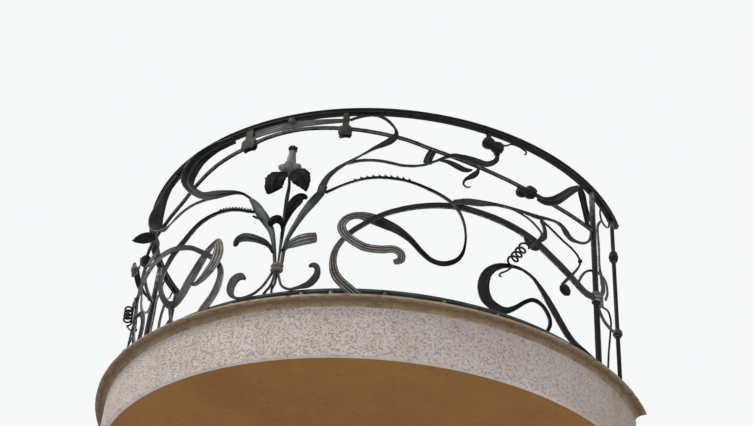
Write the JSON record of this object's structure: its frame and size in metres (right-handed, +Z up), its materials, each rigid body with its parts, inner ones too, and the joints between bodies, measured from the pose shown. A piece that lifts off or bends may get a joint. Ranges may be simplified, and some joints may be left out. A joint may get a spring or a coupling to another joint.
{
  "type": "wrought iron balcony",
  "caption": "Half-round balcony: a rendered slab with a moulded coping and a forged railing of whiplash ribbons, vines and scrolls round an iris, fixed flat to a wall",
  "frame": {"origin": "on the slab's flat wall face, at the middle of its width, near half its height", "axes": "+X to the right for a viewer facing the wall, +Y into the wall, +Z up"},
  "size_m": [2.524, 1.2618, 1.245],
  "materials": {
    "masonry": "plain masonry core, seen only at the wall face",
    "render": "rough pinkish render with a bark-like texture, stained",
    "soffit": "matt ochre render",
    "coping": "worn tan stone, lighter at the nose",
    "paving": "plain matt stone",
    "iron": "aged dark iron with pale worn edges",
    "worn_iron": "aged iron, brown and grey where it is rubbed",
    "clasp_iron": "rusty brown iron"
  },
  "bodies": {
    "root": {"slab_core": "masonry", "fascia_band": "render", "soffit_coat": "soffit", "coping_ring": "coping", "floor_paving": "paving", "handrail": "iron", "upper_rail": "iron", "bottom_rail": "iron", "rail_feet": "iron", "left_wall_post": "iron", "right_wall_post": "iron", "left_newel": "iron", "right_newel": "iron", "left_newel_shoots": "iron", "right_newel_shoots": "iron", "iris_flower": "worn_iron", "iris_falls": "iron", "iris_stem": "iron", "iris_leaves": "iron", "iris_collar": "worn_iron", "iris_feet": "iron", "left_stem": "iron", "right_stem": "iron", "crest_strap": "worn_iron", "crest_clasps": "clasp_iron", "left_crest": "iron", "right_crest": "iron", "left_wave": "iron", "right_wave": "iron", "bud": "iron", "left_whiplash": "iron", "right_whiplash": "iron", "left_barbs": "iron", "right_barbs": "iron", "left_vine": "iron", "right_vine": "iron", "left_branch": "iron", "right_branch": "iron", "left_tendril": "iron", "right_tendril": "iron", "left_scroll": "iron", "right_scroll": "iron", "left_shoulder": "iron", "right_shoulder": "iron"}
  },
  "joints": []
}
